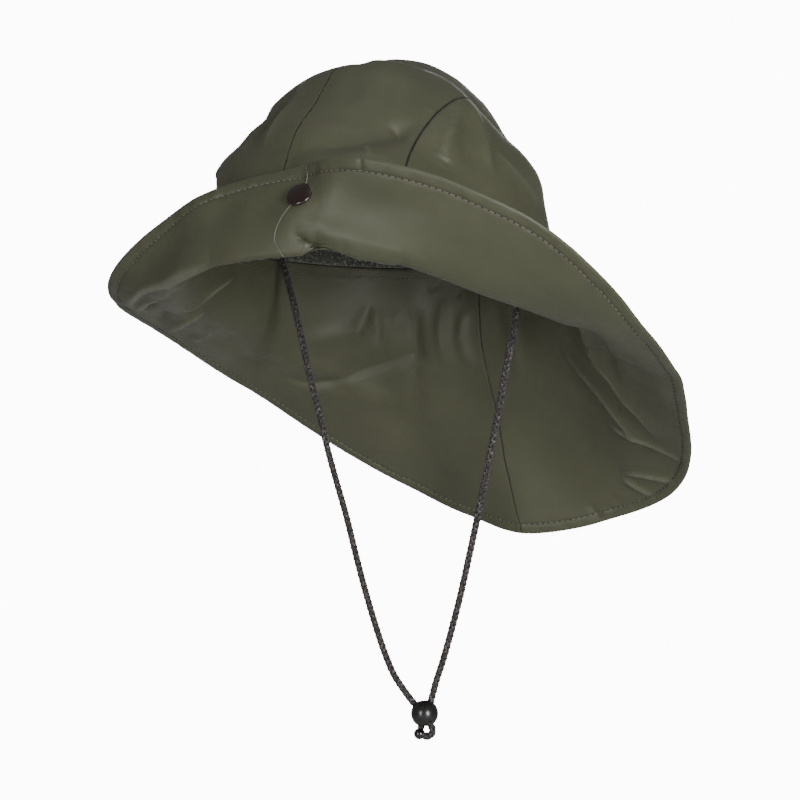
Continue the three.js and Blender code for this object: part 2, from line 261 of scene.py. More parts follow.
def add_bump(nodes, links, shader, heights):
    """Bumps one over another, from (height pattern, depth in millimetres, strength)."""
    last = None
    for height, depth, strength in heights:
        bump = nodes.new("ShaderNodeBump")
        set_inputs(bump, {"Distance": depth * MM, "Strength": strength})
        links.new(height, bump.inputs["Height"])
        if last:
            links.new(last, bump.inputs["Normal"])
        last = bump.outputs["Normal"]
    links.new(last, shader.inputs["Normal"])


def speckled(name, flecks, stops, numbers, grain=None):
    """A material whose colour follows flecks of noise, given by its scale, detail and so on.

    The numbers are the shader's own. The grain is noise too, with its bumps' depth and strength.
    """
    material, nodes, links, shader = new_material(name)
    pattern = noise(nodes, links, *flecks)
    links.new(ramp(nodes, links, pattern, stops), shader.inputs["Base Color"])
    if grain:
        scale, detail, depth, strength = grain
        add_bump(nodes, links, shader, [(noise(nodes, links, scale, detail), depth, strength)])
    set_inputs(shader, numbers)
    return material


# %% The coated cloth
CLOTH_DARK = (0.042, 0.044, 0.0245)
CLOTH_PALE = (0.055, 0.057, 0.033)
CLOTH_WEAR_AND_HIGHLIGHT = (0.12, 0.125, 0.09)
CLOTH_SHADE_AND_DIRT = (0.006, 0.006, 0.004)


def tint(nodes, links, base, amount, colour):
    """The base colour, drawn towards another as the amount goes from 0 to 1."""
    mix = nodes.new("ShaderNodeMix")
    mix.data_type = "RGBA"
    links.new(amount, mix.inputs[0])
    links.new(base, mix.inputs[6])
    mix.inputs[7].default_value = (*colour, 1)
    return mix.outputs[2]


def make_cloth(name, dark, pale):
    material, nodes, links, shader = new_material(name)
    cloudy = noise(nodes, links, 14, 3)
    base = ramp(nodes, links, cloudy, [(0.3, dark), (0.72, pale)])
    wear_and_painted_light = nodes.new("ShaderNodeAttribute")
    wear_and_painted_light.attribute_name = "wear_and_painted_light"
    # Above zero the layer pales the cloth: rubbed coating at the brim's edge, and on the crests partly
    # rubbed coating and partly a painted highlight.
    base = tint(nodes, links, base, wear_and_painted_light.outputs["Fac"], CLOTH_WEAR_AND_HIGHLIGHT)
    # Below zero the same layer is painted shade where a seam is drawn in, in the grooves and along the
    # stitches, with some dirt in the seams, and the cloth is dark there.
    shade_and_dirt = map_range(nodes, links, wear_and_painted_light.outputs["Fac"], 0, -1, 0, 1)
    links.new(tint(nodes, links, base, shade_and_dirt, CLOTH_SHADE_AND_DIRT), shader.inputs["Base Color"])
    patchy = noise(nodes, links, 60, 5)
    links.new(map_range(nodes, links, patchy, 0.3, 0.7, 0.46, 0.58), shader.inputs["Roughness"])
    ripple = noise(nodes, links, 90, 3)
    grain = noise(nodes, links, 2600, 2)
    add_bump(nodes, links, shader, [(ripple, 0.5, 0.2), (grain, 0.05, 0.2)])
    set_inputs(shader, {"Specular IOR Level": 0.36, "Sheen Weight": 0.03, "Sheen Roughness": 0.5})
    return material


cloth = make_cloth("coated_cloth", CLOTH_DARK, CLOTH_PALE)
# The lapped seam's cloth is painted paler than the rest: a painted highlight along its raised edge.
lap_highlight_cloth = make_cloth("lapped_cloth_painted_highlight", (0.07, 0.069, 0.05), (0.1, 0.1, 0.074))

# %% [markdown]
# ## The chin cord
#
# The real cord is one loop of braid. Both strands hang from the ears, run through a bead and
# end in a small stop. In a braid, yarns wind round the cord both ways and each floats over two
# others and then under two. It is made just so: four pairs of yarns each way, each swept along
# its own wavy helix, round a dark core. The centre lines are the routes that the CAD model
# uses, given here in millimetres.

# %% The cord's routes
BEAD_AT = (16, 14, -258)
BEAD_DIAMETER = 15
STOP_AT = (13, 13.5, -269.2)
STOP_DIAMETER = 6.2
RIGHT_STRAND = [
    (-82.6, 14, -0.6), (-81.2, 14, -5), (-78.6, 14, -12), (-75.6, 14, -21), (-72.2, 14, -32),
    (-68.6, 14, -45.5), (-61.7, 14, -71), (-55.4, 14, -91), (-48.8, 13.9, -113.5), (-42.4, 13.7, -132),
    (-35.6, 13.4, -151), (-28.6, 13.1, -173.5), (-22, 12.7, -193), (-14.6, 12.3, -212.5),
    (-8.8, 12, -226), (-3, 11.8, -237), (3.7, 11.6, -245.3), (9.4, 11.6, -251.4), (11.1, 12, -253.2),
]
LEFT_STRAND = [
    (82.8, 14, -0.6), (81.9, 14, -6), (79.6, 14, -17), (77.4, 14, -28), (75, 14, -39), (72.2, 14, -54),
    (68.2, 14, -72), (63.9, 14.1, -91), (60.3, 14.2, -107), (55.5, 14.4, -127), (50, 14.8, -149),
    (44.5, 15.2, -170), (38.2, 15.6, -193), (32.4, 16, -211.5), (26.8, 16.3, -228),
    (22.2, 16.4, -240), (18.9, 16.3, -250.6), (18.3, 16.1, -252.9),
]
RIGHT_TAIL = [
    (20.2, 12.6, -263), (21.4, 12.2, -264.4), (22, 12.6, -266.6), (21, 13.2, -268.8),
    (18.8, 13.5, -270.1), (16.7, 13.5, -270.2), (15.5, 13.5, -269.9),
]
LEFT_TAIL = [(13.5, 15, -264), (13.1, 15.2, -265), (13, 14.6, -266.6)]

# %% The braid's yarn
# Taupe yarn with paler picks, whose fibres catch the light along each strand, and a dark core.
cord_materials = [
    speckled(
        "braid_yarn", (800, 4),
        [(0.42, (0.0045, 0.004, 0.0035)), (0.53, (0.023, 0.0185, 0.0165)), (0.7, (0.14, 0.117, 0.104))],
        {"Roughness": 0.7, "Sheen Weight": 0.12}, (5000, 2, 0.15, 0.6),
    ),
    speckled(
        "braid_core", (1500, 2),
        [(0.4, (0.003, 0.0025, 0.0025)), (0.7, (0.008, 0.006, 0.006))],
        {"Roughness": 0.9},
    ),
]

# %% The braid
BRAID_TURN = 13
BRAID_PAIRS = 4
BRAID_RADIUS = 1.64
BRAID_WAVE = 0.2
YARN_RADIUS = 0.36
YARN_APART = 0.34
YARN_SIDES = 5
CORE_RADIUS = 1.4
CORE_SIDES = 8
RINGS_PER_MM = 1.6
LENGTH_STEPS = 400


def braid(name, route, replaced):
    """The yarns that wind round a route, over and under each other, and the core inside them."""
    length = float(run_along(smooth_line(route, LENGTH_STEPS))[-1])
    centres = smooth_line(route, int(length * RINGS_PER_MM) + 4)
    along = unit(np.gradient(centres, axis=0))
    side = unit(np.cross(along, (0, 1, 0)))
    other = np.cross(along, side)
    run = np.linspace(0, length, len(centres))
    bm = bmesh.new()
    for face in lay_tube(bm, centres, CORE_RADIUS, CORE_SIDES):
        face.material_index = 1
    for way in (1, -1):
        for strand in range(BRAID_PAIRS):
            # Two crossings over, two under: the float's place in the pattern moves on by half
            # from each strand to the next.
            phase = way * math.pi * strand - math.pi / 4
            wave = way * np.cos(4 * math.pi * run / BRAID_TURN + phase)
            radius = BRAID_RADIUS + BRAID_WAVE * wave
            for yarn in (-1, 1):
                turn = way * 2 * math.pi * run / BRAID_TURN + 2 * math.pi / BRAID_PAIRS * strand
                turn = turn + yarn * YARN_APART / BRAID_RADIUS
                out = side * np.cos(turn)[:, None] + other * np.sin(turn)[:, None]
                lay_tube(bm, centres + out * radius[:, None], YARN_RADIUS, YARN_SIDES, out)
    weld(bm)
    return new_piece(name, bm, cord_materials, "cord_braid", replaced), length, centres


right_cord, right_length, right_path = braid("right_strand_braid", RIGHT_STRAND, "chin_cord_right")
left_cord, left_length, left_path = braid("left_strand_braid", LEFT_STRAND, "chin_cord_left")
right_tail = braid("right_tail_braid", RIGHT_TAIL, "cord_tail_right")[0]
left_tail = braid("left_tail_braid", LEFT_TAIL, "cord_tail_left")[0]
print("strand lengths in mm:", round(right_length, 1), round(left_length, 1))


# %% The bead and the stop
def make_gloss(name, colour, roughness, coat):
    stops = [(0.35, colour), (0.8, tuple(1.8 * c for c in colour))]
    material = speckled(name, (900, 4), stops, {"Coat Weight": coat}, (500, 3, 0.02, 0.3))
    nodes, links = material.node_tree.nodes, material.node_tree.links
    haze = noise(nodes, links, 500, 3)
    hazy = map_range(nodes, links, haze, 0.3, 0.7, roughness * 0.85, roughness * 1.15)
    links.new(hazy, nodes["Principled BSDF"].inputs["Roughness"])
    return material


def turned(bm, profile, at, axis, steps=48):
    """A profile of (radius, height) pairs spun a full turn, stood on a point along an axis."""
    corners = [bm.verts.new((radius, 0, height)) for radius, height in profile]
    edges = [bm.edges.new(pair) for pair in zip(corners, corners[1:])]
    bmesh.ops.spin(
        bm, geom=corners + edges, cent=(0, 0, 0), axis=(0, 0, 1), dvec=(0, 0, 0),
        angle=2 * math.pi, steps=steps, use_merge=True, use_duplicate=False,
    )
    weld(bm, WELD_MM / 10)
    bmesh.ops.recalc_face_normals(bm, faces=bm.faces)
    turn = Vector((0, 0, 1)).rotation_difference(Vector(axis)).to_matrix().to_4x4()
    bmesh.ops.transform(bm, matrix=Matrix.Translation(at) @ turn, verts=bm.verts)


def ball_profile(diameter, bore, lip):
    """Half a ball with a bore through it: its outside, the rounded lips and the bore's wall."""
    radius = diameter / 2
    start = math.asin(bore / diameter)
    turns = np.linspace(start, math.pi - start, 37)
    outside = [(radius * math.sin(turn), radius * math.cos(turn)) for turn in turns]
    inner = bore / 2 - lip
    edge = radius * math.cos(start) - lip
    return [(inner, 0), (inner, edge)] + outside + [(inner, -edge), (inner, 0)]


BEAD_BORE = 6.4
BEAD_LIP = 0.4
BEAD_FACING = (-0.18, 0.1, 1)
STOP_BORE = 2.6
STOP_LIP = 0.15
STOP_FACING = (0.7, -0.5, 0.8)
bead_black = make_gloss("bead_black", (0.008, 0.008, 0.0075), roughness=0.27, coat=0.0)
stop_black = make_gloss("stop_black", (0.005, 0.005, 0.005), roughness=0.1, coat=0.4)

bm = bmesh.new()
turned(bm, ball_profile(BEAD_DIAMETER, BEAD_BORE, BEAD_LIP), BEAD_AT, BEAD_FACING)
bead = new_piece("turned_bead", bm, [bead_black], "bead_plastic", "cord_bead")
bm = bmesh.new()
turned(bm, ball_profile(STOP_DIAMETER, STOP_BORE, STOP_LIP), STOP_AT, STOP_FACING)
stop = new_piece("turned_stop", bm, [stop_black], "stop_plastic", "cord_stop")

# %% [markdown]
# ## The hat's own surfaces
#
# Crown and brim are smooth forms with few sizes: the crown is a rounded dome over an oval, and
# the brim is a row of sections round that oval. The same numbers shape the solids of the frame,
# so every piece of cloth lies where its solid lies. A bmesh grid gives each piece its faces, and
# its corners are then moved onto the surface.

# %% The surfaces' sizes
HALF_LENGTH = 101.5
HALF_WIDTH = 87.75
CROWN_HEIGHT = 102
CROWN_ROUNDNESS = 1.86
CROWN_SET_BACK = 8
SIDE_SEAM = 58
BRIM_REACH = 85
BRIM_DROP = 160
HEM_WIDTH = 6.5
FOOT_RADIUS = 100

# One row every 30 degrees from the front: how far out and down the bend, middle and edge lie,
# as shares of the brim's reach and drop.
BRIM_SECTIONS = np.array([
    [0.12, 0.122, 0.08, -0.025, -0.014, -0.16],
    [0.13, 0.138, 0.25, 0, 0.358, -0.149],
    [0.225, 0.244, 0.472, 0.169, 0.721, 0.034],
    [0.27, 0.306, 0.565, 0.356, 0.841, 0.346],
    [0.248, 0.325, 0.578, 0.481, 0.881, 0.596],
    [0.168, 0.325, 0.556, 0.625, 1.006, 0.875],
    [0.014, 0.281, 0.296, 0.631, 0.605, 1],
    [0.144, 0.312, 0.474, 0.575, 0.871, 0.806],
    [0.248, 0.281, 0.578, 0.4, 0.921, 0.481],
    [0.294, 0.238, 0.6, 0.256, 0.914, 0.244],
    [0.33, 0.188, 0.554, 0.163, 0.759, 0.122],
    [0.25, 0.15, 0.262, 0.025, 0.244, -0.085],
])


# %% Points on the brim
def crown_radius(angles):
    """How far the crown's foot lies from the hat's axis, at angles in radians from the front."""
    return 1 / np.hypot(np.sin(angles) / HALF_WIDTH, np.cos(angles) / HALF_LENGTH)


def round_table(values, angles):
    """Rows given evenly round the hat, at any angle, passing smoothly through each row."""
    count = len(values)
    place = np.mod(angles, 2 * np.pi) / (2 * np.pi) * count
    first = np.floor(place).astype(int)
    t = (place - first)[:, None]
    return between(*(values[(first + k) % count] for k in (-1, 0, 1, 2)), t)


def section_curves(points):
    """Fine curves through each section's four points, evenly paced like a drawn spline."""
    ends = [2 * points[:, :1] - points[:, 1:2], points, 2 * points[:, -1:] - points[:, -2:-1]]
    p = np.concatenate(ends, axis=1)
    gap = np.sqrt(np.linalg.norm(np.diff(p, axis=1), axis=-1))[..., None, None]
    t = np.linspace(0, 1, SECTION_STEPS, endpoint=False)[:, None]
    parts = []
    for k in range(1, p.shape[1] - 2):
        x0, x1, x2, x3 = (p[:, k + j, None, :] for j in (-1, 0, 1, 2))
        d0, d1, d2 = (gap[:, k + j] for j in (-1, 0, 1))
        m1 = ((x1 - x0) / d0 - (x2 - x0) / (d0 + d1) + (x2 - x1) / d1) * d1
        m2 = ((x2 - x1) / d1 - (x3 - x1) / (d1 + d2) + (x3 - x2) / d2) * d1
        parts.append(x1 + t * (m1 + t * (3 * (x2 - x1) - 2 * m1 - m2 + t * (2 * (x1 - x2) + m1 + m2))))
    fine = np.concatenate(parts + [points[:, -1:]], axis=1)
    return fine, run_along(fine, axis=1)


def brim_curves(angles):
    """The brim's sections at these angles, from the crown to the edge."""
    sections = round_table(BRIM_SECTIONS, angles)
    radius = crown_radius(angles)
    reach = np.stack([radius - 1] + [radius + BRIM_REACH * sections[:, k] for k in (0, 2, 4)], axis=1)
    points = np.zeros((len(angles), 4, 3))
    points[..., 0] = np.sin(angles)[:, None] * reach
    points[..., 1] = -np.cos(angles)[:, None] * reach
    points[:, 0, 2] = -0.3
    points[:, 1:, 2] = -BRIM_DROP * sections[:, 1::2]
    return section_curves(points)


def brim_places(angles, shares):
    """Points of the middle of the brim's wall, for tables of angles and shares of the way out."""
    fine, run = brim_curves(angles.reshape(-1))
    want = shares.reshape(-1) * run[:, -1]
    k = np.clip((run < want[:, None]).sum(axis=1), 1, run.shape[1] - 1)
    i = np.arange(len(want))
    t = ((want - run[i, k - 1]) / (run[i, k] - run[i, k - 1]))[:, None]
    return (fine[i, k - 1] * (1 - t) + fine[i, k] * t).reshape(angles.shape + (3,))


# %% Points on the crown
HALVINGS = 30


def crown_places(across, turn):
    """Points of the crown's outer face: across is x, and turn runs from the front over the top."""
    low = np.zeros(np.broadcast(across, turn).shape)
    high = low + 2 * CROWN_HEIGHT
    for _ in range(HALVINGS):
        middle = (low + high) / 2
        height = middle * np.sin(turn) / CROWN_HEIGHT
        back = -middle * np.cos(turn) - CROWN_SET_BACK * height**2
        flat = (back / HALF_LENGTH) ** 2 + (across / HALF_WIDTH) ** 2
        outside = flat ** (CROWN_ROUNDNESS / 2) + height**CROWN_ROUNDNESS > 1
        high = np.where(outside, middle, high)
        low = np.where(outside, low, middle)
    return np.stack([across + 0 * middle, -middle * np.cos(turn), middle * np.sin(turn)], axis=-1)


def crown_round(angles, shares):
    """Points of the crown's outer face by the angle round the hat and the share of the way up."""
    climb = np.pi / 2 * shares
    height = np.sin(climb) ** (2 / CROWN_ROUNDNESS)
    radius = crown_radius(angles) * np.cos(climb) ** (2 / CROWN_ROUNDNESS)
    back = CROWN_SET_BACK * height**2 - np.cos(angles) * radius
    return np.stack([np.sin(angles) * radius, back, CROWN_HEIGHT * height], axis=-1)


def table_normals(places, guide=None):
    """The normal at each place of a table, turned to the same side as a guide."""
    normals = unit(np.cross(np.gradient(places, axis=0), np.gradient(places, axis=1)))
    if guide is None:
        return normals
    flat = np.linalg.norm(normals, axis=-1, keepdims=True) < 0.5
    normals = np.where(flat, guide, normals)
    return np.where((normals * guide).sum(axis=-1, keepdims=True) < 0, -normals, normals)


# %% [markdown]
# ## Broad forms and creases
#
# The broad dents and swellings are the frame's own, from the same table. Over them lie the
# creases. A crease is a soft ridge or groove along a line of a few points. It fades out at its
# ends, and one side may fall more steeply than the other, as where cloth buckles. Last come
# shallow waves in all directions, because handled cloth is never quite smooth.

# %% The frame's broad forms
# Where each form lies: the angle round the hat, the share of the way along, and how far its length
# is turned from that way. How large it is: half its length, half its width and its lift, as
# shares of the crown's height.
CROWN_FORMS = [
    (10, 0.66, 90, 0.5, 0.16, 0.05), (33, 0.93, 90, 0.55, 0.2, -0.06), (205, 0.9, 90, 0.45, 0.24, 0.095),
    (-62, 0.22, 90, 0.5, 0.2, 0.11), (125, 0.26, 90, 0.6, 0.25, 0.05), (-28, 0.5, 0, 0.36, 0.09, 0.025),
    (30, 0.36, 65, 0.42, 0.13, -0.035), (75, 0.55, 10, 0.34, 0.1, 0.02),
]
BRIM_FORMS = [
    (118, 0.62, 40, 0.32, 0.07, 0.03), (205, 0.35, 0, 0.3, 0.06, 0.02),
    (230, 0.55, 75, 0.36, 0.06, -0.02), (262, 0.6, 60, 0.26, 0.06, 0.025),
]


ONE_DEGREE = 0.0175
SHARE_STEP = 0.01


def form_lift(surface, forms, places):
    """How far the broad forms lift each place, on the side where a crown's outside is."""
    lift = np.zeros(places.shape[:-1])
    for around, share, turn, length, width, height in forms:
        angle = math.radians(around)
        near = surface(
            np.array([angle] * 4 + [angle + ONE_DEGREE, angle - ONE_DEGREE]),
            np.array([
                share, share - 2 * SHARE_STEP, min(share + SHARE_STEP, 1), share - SHARE_STEP, share, share,
            ]),
        )
        normal = unit(np.cross(near[4] - near[5], near[2] - near[3]))
        up = unit(near[0] - near[1])
        turned_by = math.radians(turn)
        along = up * math.cos(turned_by) + np.cross(normal, up) * math.sin(turned_by)
        away = places - near[0]
        fall = (away @ along / length) ** 2 + (away @ np.cross(normal, along) / width) ** 2
        fall = (fall + (away @ normal / length) ** 2) / CROWN_HEIGHT**2
        lift += height * CROWN_HEIGHT * np.exp(-fall)
    return lift


# %% Creases
# A crease is a path of points written x y z, its lift and its width, all in millimetres, and up
# to four more numbers: lean, crisp, paint and ends. The side towards the brim's edge, for a path
# that runs to the hat's left, is lean times as wide.
# crisp goes from a round crest, 0, to a sharp one, 1. paint pales a crest, partly as worn coating
# and partly as a painted highlight, and below zero it darkens a groove with painted shade. ends
# are the shares of the lift at the path's ends.
PLAIN_CREASE = (1.0, 0.0, 0.0, (0.0, 0.0))
CREASE_STEPS = 90
CREASE_REACH = 3.5
CREASE_FADE = 1.5
CRISP_FALL = 1.3
END_SHARE = 0.35
WEAR_AND_HIGHLIGHT_WIDTH = 1.3
RIPPLE_WAVES = 36


def bell(distance, width):
    """1 on a line and less beside it, as a bell of that width."""
    return np.exp(-((distance / width) ** 2))


def read_path(text):
    return [[float(number) for number in point.split()] for point in text.split(",")]


def swell(share, start):
    """How much of a crease there is, from its start share at its end to all of it farther in."""
    return start + (1 - start) * np.sin(np.pi / 2 * np.clip(share / END_SHARE, 0, 1))


def crease_lift(places, normals, creases):
    """How far the creases lift each place of a table, and how much wear, painted highlight and painted
    shade they lay there.
    """
    lift = np.zeros(places.shape[:-1])
    wear_and_painted_light = np.zeros(places.shape[:-1])
    for path, height, width, *more in creases:
        lean, crisp, wear_and_light, ends = *more, *PLAIN_CREASE[len(more):]
        line = smooth_line(read_path(path), CREASE_STEPS)
        along = unit(np.gradient(line, axis=0))
        reach = CREASE_REACH * width * max(lean, 1)
        low, high = line.min(axis=0) - reach, line.max(axis=0) + reach
        near = ((places > low) & (places < high)).all(axis=-1)
        if not near.any():
            continue
        offset = places[near][:, None] - line
        distance = np.linalg.norm(offset, axis=-1)
        nearest = distance.argmin(axis=1)
        i = np.arange(len(nearest))
        offset, way = offset[i, nearest], along[nearest]
        inner = (nearest > 0) & (nearest < len(line) - 1)
        offset = offset - np.where(inner, (offset * way).sum(axis=1), 0)[:, None] * way
        distance = np.linalg.norm(offset, axis=1)
        side = (np.cross(normals[near], way) * offset).sum(axis=1)
        apart = distance / width / np.where(side > 0, lean, 1)
        sharp = np.exp(-apart * CRISP_FALL)
        shape = crisp * sharp + (1 - crisp) * np.exp(-(apart**2))
        shape = shape * np.clip((CREASE_REACH - apart) / CREASE_FADE, 0, 1)
        share = nearest / (len(line) - 1)
        whole = swell(share, ends[0]) * swell(1 - share, ends[1])
        lift[near] += height * shape * whole
        # Above zero the mark pales the crest, partly as rubbed coating and partly as a painted highlight;
        # below zero it is painted shade across the groove.
        mark = wear_and_light * bell(distance, WEAR_AND_HIGHLIGHT_WIDTH if wear_and_light > 0 else width) * whole
        wear_and_painted_light[near] = np.where(np.abs(mark) > np.abs(wear_and_painted_light[near]), mark, wear_and_painted_light[near])
    return lift, wear_and_painted_light


def ripples(places, depth, shortest, longest, seed):
    """Slow unevenness: many shallow waves that run in all directions."""
    random = np.random.default_rng(seed)
    lift = np.zeros(places.shape[:-1])
    for _ in range(RIPPLE_WAVES):
        way = unit(random.normal(size=3))
        length = random.uniform(shortest, longest)
        wave = np.sin(places @ way * 2 * np.pi / length + random.uniform(0, 2 * np.pi))
        lift += wave * length / longest
    return lift * depth / (math.sqrt(RIPPLE_WAVES) / 2)


def round_edge(distance, radius):
    """1 well inside a border and 0 on it, falling away as a quarter circle of that radius."""
    return np.sqrt(np.clip(1 - (1 - np.clip(distance / radius, 0, 1)) ** 2, 0, 1))


def cloth_piece(name, middle, normals, over, under, wear_and_painted_light, materials, slot, *replaced):
    """A piece of cloth with two faces, over and under its middle, that meet at its border."""
    bm = bmesh.new()
    bm.verts.layers.float.new("wear_and_painted_light")
    lay_grid(bm, middle + normals * over[..., None], wear_and_painted_light=wear_and_painted_light)
    lay_grid(bm, middle - normals * under[..., None], flip=True, wear_and_painted_light=wear_and_painted_light)
    weld(bm, 2 * WELD_MM)
    bmesh.ops.recalc_face_normals(bm, faces=bm.faces)
    return new_piece(name, bm, materials, slot, *replaced)


# %% [markdown]
# ## The crown
#
# Four panels: two run from front to back over the middle, and two close the sides. Each panel
# is a grid between two seams, from the front of its foot over the top to the back. Along a seam
# real panels are turned in and sewn, which draws a fine groove, so the grid is finer there
# and rolls inwards. Painted shade, with some dirt, darkens a thin line along each seam.

# %% The crown's creases
# Where a crease gives its paint number, above zero it paints a pale crest, partly rubbed coating and partly
# painted highlight, and below zero painted shade in the groove.
CROWN_CREASES = [
    # Broad slack: the left side falls in below the top, and a valley parts the top's two crests.
    ("44 8 87, 60 15 70, 65 31 58, 70 41 45, 73 46 31", -7, 18, 1, 0, 0, (0.2, 0.4)),
    ("46 30 80, 56 40 66, 61 51 54, 66 59 41, 71 59 29, 74 56 20", -5.8, 19, 1, 0, 0, (0.3, 0.6)),
    ("-21 10 99, -11 -5 99, -2 -19 97, 6 -31 94, 14 -44 89", -4.4, 9, 0.5, 0.2, -0.12),
    ("-34 -64 66, -40 -60 61, -45 -56 56", -2.2, 7),
    ("-66 -64 12, -70 -59 22, -66 -56 34", -5, 12),
    # Creases of the right middle panel, beside the centre seam.
    ("-14 -44 84, -18 -70 63, -18 -80 52, -21 -86 40", 2.2, 3.4, 1.4, 0.6, 0.35),
    ("-34 -44 77, -37 -60 62, -44 -70 44", 1.3, 4, 1.3, 0.6, 0.35),
    ("-28 -52 77, -28 -72 58, -32 -82 40", -1.3, 4.5),
    # The tented folds of the left side panel.
    ("58.5 -18 72, 65 -36 53, 67 -46 41, 69 -53 29", 2.8, 4, 1.6, 0.6, 0.15),
    ("60 -14 70, 69 -18 56, 77 -22 40, 81 -23 28", 2.6, 4, 0.8, 0.6, 0.15),
    ("62 -26 63, 71 -33 45, 76 -38 30", -1.3, 5),
    ("63.5 -51 43, 68 -49.5 36, 71 -49 29", -0.9, 1.6, 1, 0.5),
    ("67 -53 37, 71 -46 33", 0.7, 1.3, 1, 0.5, 0.4),
    # The dent across the left middle panel, and the swelling under it.
    ("8 -91 40, 33 -84 41, 49 -68 47, 58 -42 60", -3.4, 6, 1.3, 0.2, -0.2),
    ("4 -95 30, 24 -92 31, 43 -81 30, 56 -70 27", 2.4, 6),
    ("44 -66 57, 50 -62 50, 53 -62 42", -1.0, 2.6, 1, 0.3),
    ("38 -78 44, 42 -80 36, 44 -82 30", 0.8, 2, 1, 0.5, 0.35),
    # The cusp at the left end of the crown, and the front crest.
    ("78 -16 42, 83 -5 30, 86 10 20, 86 22 12", 1.8, 5, 1.3, 0.5, 0.25),
    ("-5 -30 95, 11 -34 93, 26 -31 90, 42 -14 86", 1.7, 5, 0.6, 0.5, 0.35),
    ("2 -50 88, 10 -54 84, 16 -50 86", -0.9, 3, 1, 0.3),
    ("20 -52 82, 27 -60 74, 30 -67 66", 0.7, 3, 1, 0.5, 0.1),
    # Creases that the photograph can't show, on the back and the right side.
    ("-58 24 72, -68 28 52, -76 24 34", 1.5, 5, 1.4, 0.5),
    ("-10 88 46, 8 92 38, 30 88 32", -1.6, 6, 1.2, 0.2),
    ("30 60 72, 44 62 56, 52 60 44", 1.3, 5, 1.4, 0.4),
]

# %% The crown's panels
CLOTH_HALF = 0.8
SEAM_ROLL = 1.0
FOOT_ROLL = 0.35
FOOT_HOLD = 16
SEAM_SHADE_AND_DIRT = 0.85
SEAM_LINE = 0.45
PUCKER_DEPTH = 0.16
PUCKER_REACH = 3
PANEL_ROWS = 210
MIDDLE_COLUMNS = 46
SIDE_COLUMNS = 34
MM_PER_DEGREE = 1.75
NEAR_SEAM = np.array([0, 0.1, 0.28, 0.55, 0.9, 1.4, 2.1])
SEAM_STRIP = NEAR_SEAM[-1]


def panel_columns(low, high):
    """Where a panel's columns lie across the hat, closer together beside its seams."""
    if high is None:
        start = math.asin((low + SEAM_STRIP) / HALF_WIDTH)
        turns = np.linspace(start, math.pi / 2, SIDE_COLUMNS)[1:]
        return np.concatenate([low + NEAR_SEAM, HALF_WIDTH * np.sin(turns)])
    inside = np.linspace(low + SEAM_STRIP, high - SEAM_STRIP, MIDDLE_COLUMNS)[1:-1]
    return np.concatenate([low + NEAR_SEAM, inside, high - NEAR_SEAM[::-1]])


def make_panel(name, low, high, mirrored, replaced):
    """The panel between two planes across the hat, from its front over the top to its back."""
    columns = panel_columns(low, high)
    steps = NEAR_SEAM / MM_PER_DEGREE
    inside = np.linspace(steps[-1], 180 - steps[-1], PANEL_ROWS)[1:-1]
    rows = np.radians(np.concatenate([steps, inside, 180 - steps[::-1]]))
    across, turn = np.meshgrid(-columns[::-1] if mirrored else columns, rows, indexing="ij")
    outer = crown_places(across, turn)
    normals = table_normals(outer, unit(outer - (0, 0, -30)))
    normals[np.abs(across) > HALF_WIDTH - 0.01] = (-1 if mirrored else 1, 0, 0)
    fade = np.clip(outer[..., 2] / FOOT_HOLD, 0, 1)
    creased, wear_and_painted_light = crease_lift(outer, normals, CROWN_CREASES)
    waves = ripples(outer, depth=0.5, shortest=16, longest=70, seed=3)
    lift = form_lift(crown_round, CROWN_FORMS, outer) + creased + waves
    shaped = outer + normals * (fade * lift)[..., None]
    to_seam = np.abs(across) - low
    if high is not None:
        to_seam = np.minimum(to_seam, high - np.abs(across))
    # Sewing draws small puckers in along the seam.
    along_seam = np.sin(outer[..., 1] * 0.9 + 3 * np.sin(outer[..., 2] * 0.21))
    pucker = PUCKER_DEPTH * along_seam * np.exp(-to_seam / PUCKER_REACH) * (to_seam > 0.2)
    # Painted shade, with some dirt, darkens a thin line along the seam's groove.
    wear_and_painted_light = wear_and_painted_light - SEAM_SHADE_AND_DIRT * bell(to_seam, SEAM_LINE)
    middle = shaped + normals * (pucker - CLOTH_HALF)[..., None]
    normals = table_normals(middle, normals)
    half = CLOTH_HALF * round_edge(to_seam, SEAM_ROLL) * round_edge(outer[..., 2], FOOT_ROLL)
    cloth_piece(name, middle, normals, half, half, wear_and_painted_light, [cloth], "shell_fabric", replaced)


make_panel("left_middle_panel", 0, SIDE_SEAM, False, "crown_centre_left")
make_panel("right_middle_panel", 0, SIDE_SEAM, True, "crown_centre_right")
make_panel("left_side_panel", SIDE_SEAM, None, False, "crown_side_left")
make_panel("right_side_panel", SIDE_SEAM, None, True, "crown_side_right")

# %% [markdown]
# ## The brim
#
# The brim is two halves, sewn at the front and down the back. Its edge is turned under and
# stitched, which makes a puffed hem. In front it is folded up against the crown. The grid runs
# round the hat and out to the edge, with its columns bent to follow the two seams.

# %% The brim's seams
# The angle of each seam round the hat, in degrees, at shares of the way from crown to edge.
FRONT_SEAM = [
    (0, 8), (0.2, 8), (0.325, 6), (0.41, 3.6), (0.5, 4.2),
    (0.59, 6.4), (0.67, 9), (0.75, 10.6), (0.84, 11.2), (1, 11.4),
]
BACK_SEAM = [
    (0, 180), (0.19, 180), (0.27, 180.6), (0.38, 180.2),
    (0.5, 180), (0.72, 180.9), (0.91, 180.8), (1, 180.2),
]


def seam_angle(table, shares):
    """The seam's angle in radians at each share, smoothed through the table's rows."""
    known = np.array(table, float)
    fine = np.linspace(0, 1, 201)
    padded = np.pad(np.interp(fine, known[:, 0], known[:, 1]), 12, mode="edge")
    kernel = np.hanning(25)
    return np.radians(np.interp(shares, fine, np.convolve(padded, kernel / kernel.sum(), mode="valid")))
